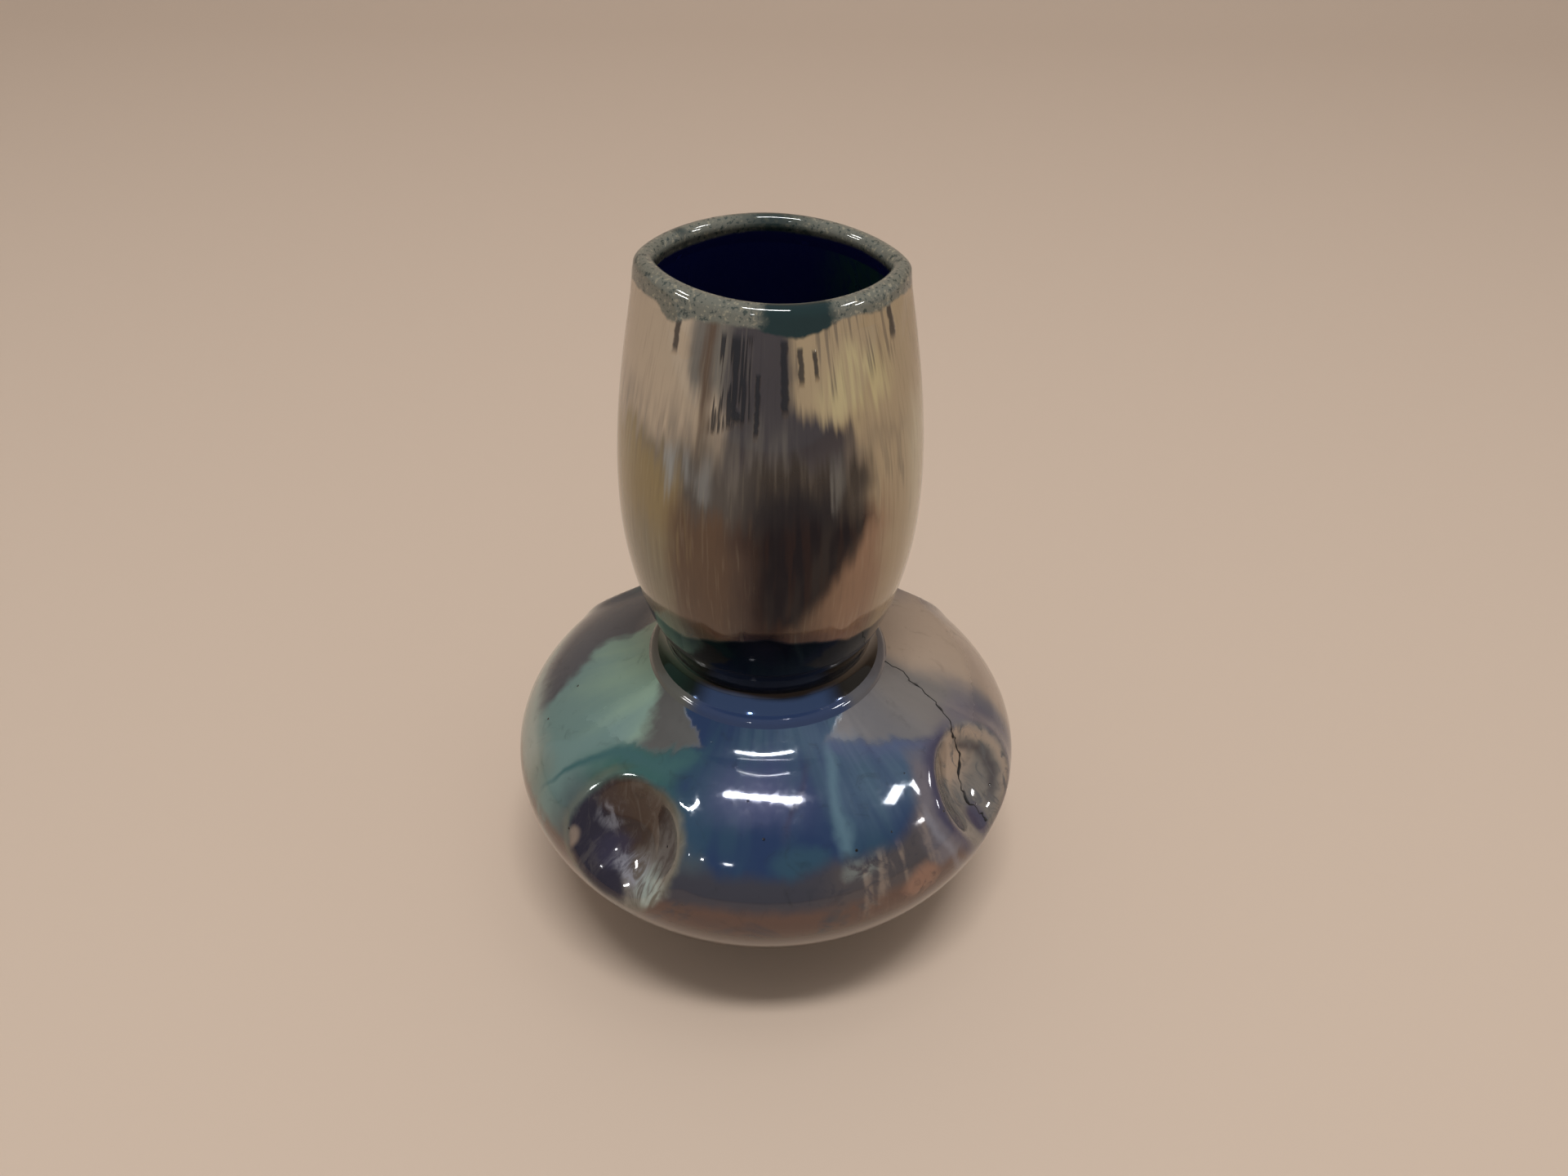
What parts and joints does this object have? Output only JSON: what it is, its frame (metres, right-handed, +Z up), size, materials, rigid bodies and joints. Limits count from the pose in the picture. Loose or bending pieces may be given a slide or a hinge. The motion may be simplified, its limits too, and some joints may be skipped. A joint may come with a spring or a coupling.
{
  "type": "stoneware vase",
  "caption": "Small glazed stoneware vase with a squat dimpled belly, a barrel neck and a mouth pinched to a lens.",
  "frame": {"origin": "middle of the foot's circle on the surface that the vase stands on", "axes": "+Z up along the axis of turning, -Y towards the front of the picture, +X towards the picture's right, where one point of the mouth lies"},
  "size_m": [0.085, 0.0849, 0.1211],
  "materials": {
    "bare_stoneware": "unglazed, matt, fine grain",
    "stoneware_wall": "fired clay under the glaze",
    "collar_slip": "dark glossy slip bead",
    "body_lustre_glaze": "high gloss, mottled lustre in blue, green, brown and tan",
    "neck_lustre_glaze": "high gloss, streaked lustre in ochre, olive and dark brown",
    "lip_glaze": "high gloss, thick speckled dark green",
    "cobalt_lining": "high gloss, deep cobalt blue"
  },
  "bodies": {
    "root": {"foot_ring": "bare_stoneware", "body_bowl": "stoneware_wall", "body_shoulder": "stoneware_wall", "neck_barrel": "stoneware_wall", "collar_bead": "collar_slip", "body_glaze": "body_lustre_glaze", "neck_glaze": "neck_lustre_glaze", "lip_glaze": "lip_glaze", "inner_glaze": "cobalt_lining"}
  },
  "joints": []
}
